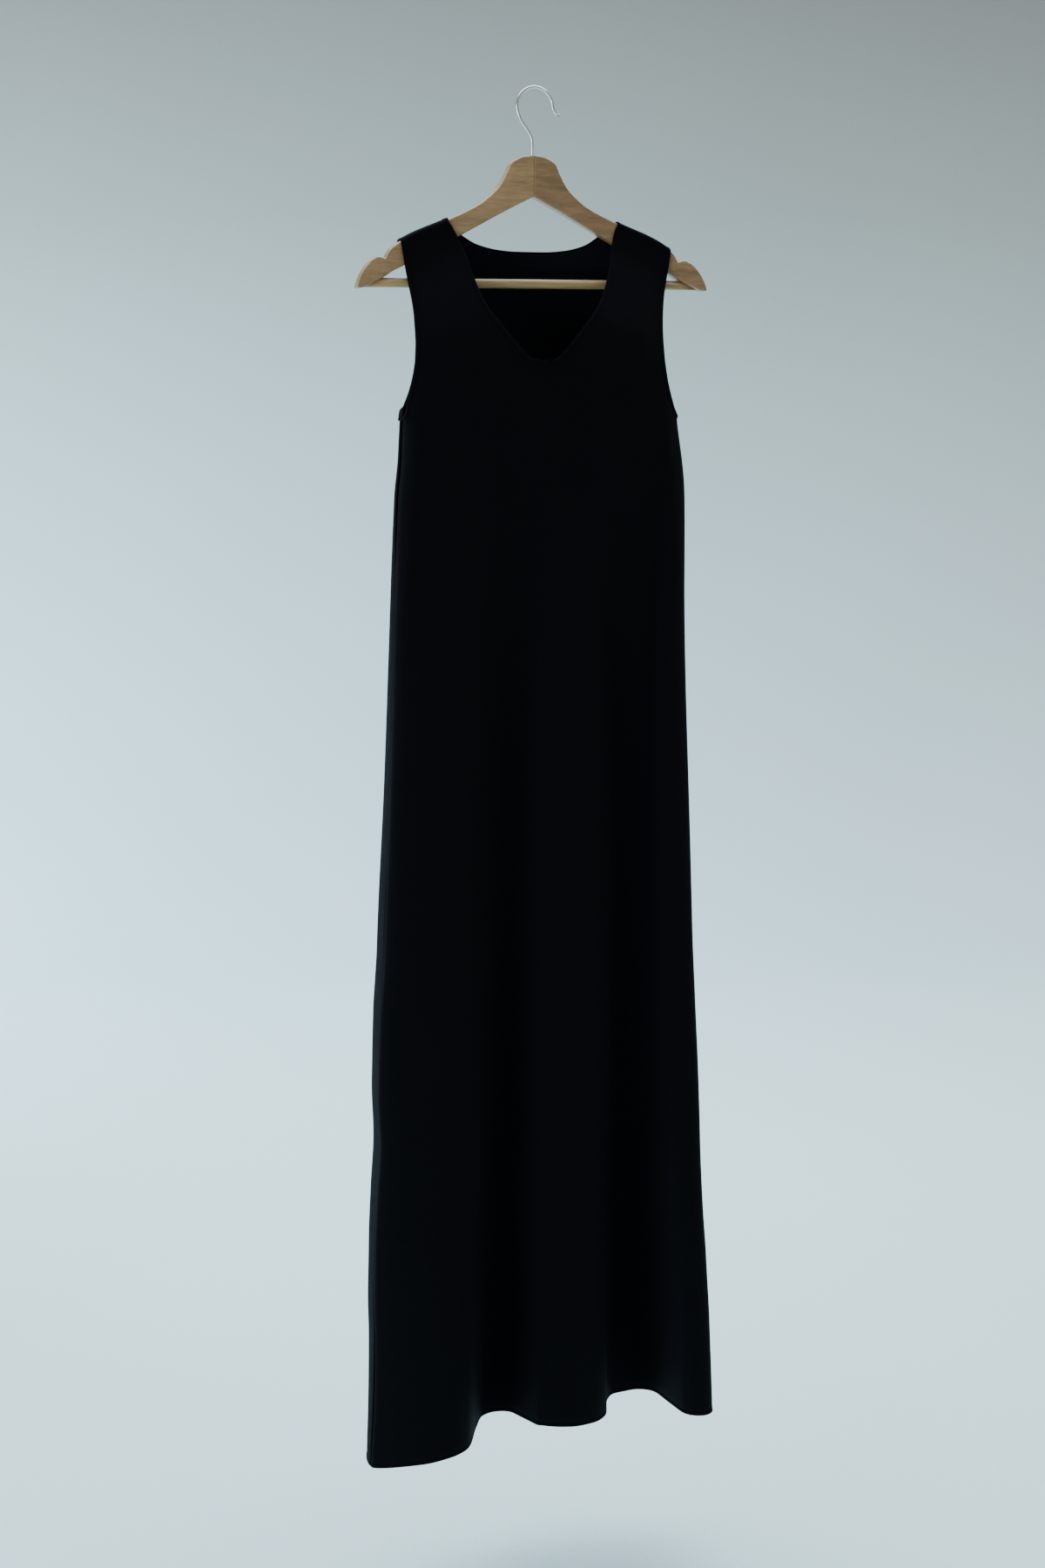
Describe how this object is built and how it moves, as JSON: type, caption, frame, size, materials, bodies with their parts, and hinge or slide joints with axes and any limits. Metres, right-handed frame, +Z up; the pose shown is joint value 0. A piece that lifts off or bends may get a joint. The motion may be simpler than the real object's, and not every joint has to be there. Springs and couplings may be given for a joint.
{
  "type": "column dress on a hanger",
  "caption": "Long sleeveless black knit column dress with a rounded V neck, hung on a contoured wooden hanger with a trouser bar and a wire hook",
  "frame": {"origin": "where a rail touches the inside top of the hook", "axes": "+Z up; +X along the hanger to the right of someone facing the front of the dress; the front faces -Y"},
  "size_m": [0.4421, 0.1518, 1.5892],
  "materials": {
    "knit": "matt heavy knit",
    "wood": "satin varnish",
    "hook_metal": "bright plating"
  },
  "bodies": {
    "root": {"dress_front": "knit", "dress_back": "knit", "hanger_left": "wood", "hanger_right": "wood", "hanger_bar": "wood", "hanger_hook": "hook_metal"}
  },
  "joints": []
}
